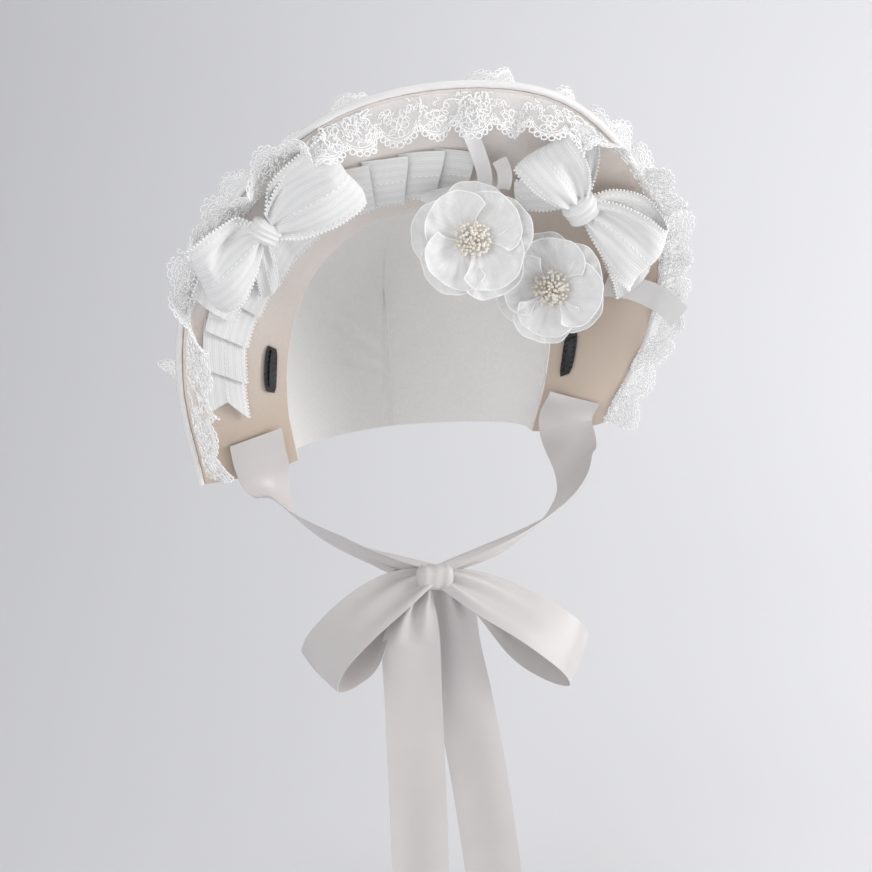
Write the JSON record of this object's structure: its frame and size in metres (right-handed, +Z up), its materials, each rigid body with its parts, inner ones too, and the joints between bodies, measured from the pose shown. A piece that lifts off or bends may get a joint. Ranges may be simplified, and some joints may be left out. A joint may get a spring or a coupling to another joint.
{
  "type": "lolita bonnet",
  "caption": "White bonnet with a flared horseshoe brim, lace ruffles, pleated ribbon, ribbon bows, organza flowers and satin ties that knot in a bow under the chin.",
  "frame": {"origin": "inside top of the crown, where the crown of the head sits under the throat of the brim", "axes": "+Z up, the face opening looks to -Y, +X to the wearer's left (the viewer's right)"},
  "size_m": [0.3591, 0.2397, 0.5264],
  "materials": {
    "brim_cloth": "matt plain weave over stiffener",
    "crown_cloth": "matt plain weave",
    "satin": "satin",
    "lace": "embroidered net",
    "picot_ribbon": "ribbed ribbon with picot edges",
    "organza": "sheer satin organza",
    "stamen": "pearl",
    "clip_black": "black"
  },
  "bodies": {
    "root": {"brim": "brim_cloth", "flower_upper_stem": "brim_cloth", "flower_lower_stem": "brim_cloth", "crown": "crown_cloth", "brim_binding": "satin", "tie_left": "satin", "tie_right": "satin", "chin_bow_knot": "satin", "chin_loop_left": "satin", "chin_loop_right": "satin", "chin_tail_left": "satin", "chin_tail_right": "satin", "sprig_ribbon_a": "satin", "sprig_ribbon_b": "satin", "ribbon_end_right": "satin", "lace_front": "lace", "lace_back": "lace", "pleated_band": "picot_ribbon", "bow_left_loop_upper": "picot_ribbon", "bow_left_loop_lower": "picot_ribbon", "bow_left_tail_a": "picot_ribbon", "bow_left_tail_b": "picot_ribbon", "bow_left_knot": "picot_ribbon", "bow_right_loop_upper": "picot_ribbon", "bow_right_loop_lower": "picot_ribbon", "bow_right_tail_a": "picot_ribbon", "bow_right_tail_b": "picot_ribbon", "bow_right_knot": "picot_ribbon", "flower_upper_petals_outer": "organza", "flower_upper_petals_inner": "organza", "flower_lower_petals_outer": "organza", "flower_lower_petals_inner": "organza", "organza_leaf_a": "organza", "organza_leaf_b": "organza", "flower_upper_stamens": "stamen", "flower_lower_stamens": "stamen", "clip_left": "clip_black", "clip_right": "clip_black"}
  },
  "joints": []
}
